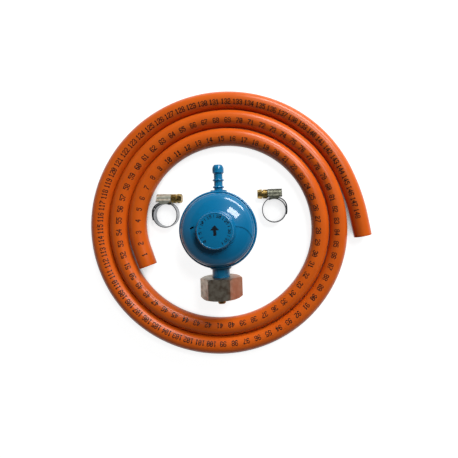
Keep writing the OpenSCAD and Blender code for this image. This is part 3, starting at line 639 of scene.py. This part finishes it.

# %% [markdown]
# ## The main spring
#
# The spring stands between the diaphragm's plate and the adjusting screw, and gets shorter as the plate
# lifts. It is a round wire along a helix: at each step the wire's circle lies in the plane through the
# spring's axis. It spans the height of the CAD spring that it stands for.

# %% A wire along a helix
SPRING_TURNS = 4.5
SPRING_R = 8.4 * MM
WIRE_R = 0.75 * MM
WIRE_SIDES = 16
WIRE_STEPS = 48                 # steps to a turn
spring_low, spring_high = (corner[2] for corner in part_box("main_spring"))
along = np.linspace(0, 1, int(SPRING_TURNS * WIRE_STEPS) + 1)[:, None]
round_axis = 2 * np.pi * SPRING_TURNS * along
round_wire = -np.linspace(0, 2 * np.pi, WIRE_SIDES, endpoint=False)[None, :]
reach = SPRING_R + WIRE_R * np.cos(round_wire)
height = spring_low + WIRE_R + along * (spring_high - spring_low - 2 * WIRE_R) + WIRE_R * np.sin(round_wire)
helix = np.stack([reach * np.cos(round_axis), reach * np.sin(round_axis), height], axis=-1).reshape(-1, 3)
wire_end = np.arange(WIRE_SIDES)
spring = make_piece(
    "main_spring_wire", helix,
    [quads(len(along), WIRE_SIDES), wire_end[None, ::-1], wire_end[None, :] + len(helix) - WIRE_SIDES],
    "regulator", spring_steel,
)
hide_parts("main_spring")
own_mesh(spring)

# %% [markdown]
# ## The studio
#
# Two softboxes at the upper right give most of the light, so each turn of the hose has a lit side and a dark
# one, and the world gives only a little. The high one is placed by the law of reflection, so that its glint
# lands on the bonnet's crown. The low one is long and narrow, and draws a crescent along the bonnet's
# shoulder.

# %% Board, wall, lamps and world
GROUND_Z = -0.3 * MM
BOARD_HALF = 3
WALL_R = 2.9
WALL_TOP = 2.4
WALL_SIDES = 96
BOARD_GLOW = 0.9
WALL_GLOW = 0.28
GAP_REACH = 15 * MM             # the board looks this far for a hose that shades it


def studio_mesh(name, points, faces, finish):
    mesh = bpy.data.meshes.new(name)
    mesh.from_pydata(points, [], faces)
    mesh.shade_smooth()
    mesh.materials.append(finish)
    ground = bpy.data.objects.new(name, mesh)
    scene.collection.objects.link(ground)
    return ground


def glowing_finish(name, roughness):
    """A grey finish that glows white to the camera and in reflections only. The glow's strength goes to
    the second input of the last node that it returns."""
    finish, tree, shader = new_finish(name)
    shader.inputs["Base Color"].default_value = (0.3, 0.3, 0.3, 1)
    shader.inputs["Roughness"].default_value = roughness
    seen = add(tree, "ShaderNodeLightPath").outputs
    direct = add(tree, "ShaderNodeMath", {0: seen["Is Camera Ray"], 1: seen["Is Glossy Ray"]}, operation="ADD")
    all_seen = add(
        tree, "ShaderNodeMath", {0: direct.outputs[0], 1: seen["Is Transmission Ray"]}, operation="ADD",
    )
    glow = add(tree, "ShaderNodeMath", {0: all_seen.outputs[0]}, operation="MULTIPLY")
    shader.inputs["Emission Color"].default_value = (1, 1, 1, 1)
    tree.links.new(glow.outputs[0], shader.inputs["Emission Strength"])
    return finish, tree, glow


board_finish, tree, glow = glowing_finish("white_board", 0.9)
# the glow is dimmed near the hose by ambient occlusion, a painted shade in the gaps between the turns
open_sky = add(tree, "ShaderNodeAmbientOcclusion", {"Distance": GAP_REACH}, samples=8)
painted_gap_shade = add(
    tree, "ShaderNodeMapRange", {"Value": open_sky.outputs["AO"], "From Min": 0.05, "From Max": 0.4},
)
strength = add(tree, "ShaderNodeMath", {0: painted_gap_shade.outputs[0], 1: BOARD_GLOW}, operation="MULTIPLY")
tree.links.new(strength.outputs[0], glow.inputs[1])
board_points = [(BOARD_HALF * x, BOARD_HALF * y, GROUND_Z) for x, y in ((-1, -1), (1, -1), (1, 1), (-1, 1))]
board = studio_mesh("board", board_points, [(0, 1, 2, 3)], board_finish)

wall_finish, tree, glow = glowing_finish("pale_wall", 1.0)
glow.inputs[1].default_value = WALL_GLOW
wall_angles = np.linspace(0, 2 * np.pi, WALL_SIDES, endpoint=False)
wall_ring = WALL_R * np.column_stack([np.cos(wall_angles), np.sin(wall_angles)])
wall_points = [(x, y, z) for z in (GROUND_Z, WALL_TOP) for x, y in wall_ring.tolist()]
wall_faces = [
    (k, (k + 1) % WALL_SIDES, (k + 1) % WALL_SIDES + WALL_SIDES, k + WALL_SIDES) for k in range(WALL_SIDES)
]
wall = studio_mesh("wall", wall_points, wall_faces, wall_finish)


def softbox(name, place, target, size, power):
    """A rectangular lamp at a place, turned towards a target."""
    light = bpy.data.lights.new(name, "AREA")
    light.shape = "RECTANGLE"
    light.size, light.size_y = size
    light.energy = power
    lamp = bpy.data.objects.new(name, light)
    lamp.location = place
    away = np.array(place) - np.array(target)
    lamp.rotation_mode = "QUATERNION"
    lamp.rotation_quaternion = Vector(away).to_track_quat("Z", "Y")
    scene.collection.objects.link(lamp)


def from_angles(azimuth, elevation, distance):
    """A place seen from the origin at an azimuth and an elevation in degrees."""
    a, e = math.radians(azimuth), math.radians(elevation)
    level = distance * math.cos(e)
    return (level * math.cos(a), level * math.sin(a), distance * math.sin(e))


# the dome's crown is part of a sphere, so the normal at the glint points from its centre
HIGH_AWAY = 1.2                 # distance of the high lamp from its glint
LOW_AWAY = 1.3
glint = np.array([13.4, 13.2, 38.6]) * MM
crown_centre = np.array([0.0, 0.0, -18.25]) * MM
normal = (glint - crown_centre) / np.linalg.norm(glint - crown_centre)
to_camera = np.array(camera.location) - glint
to_camera /= np.linalg.norm(to_camera)
mirrored = 2 * normal.dot(to_camera) * normal - to_camera
softbox("high", tuple(glint + HIGH_AWAY * mirrored), tuple(glint), size=(0.42, 0.2), power=5.4)
softbox("low", from_angles(60, 27, LOW_AWAY), (0, 0, 0), size=(0.9, 0.36), power=17.5)

world = bpy.data.worlds.new("soft_room")
world.use_nodes = True
world.node_tree.nodes["Background"].inputs["Color"].default_value = (1, 1, 1, 1)
world.node_tree.nodes["Background"].inputs["Strength"].default_value = 0.08
scene.world = world
scene.view_settings.view_transform = "Standard"
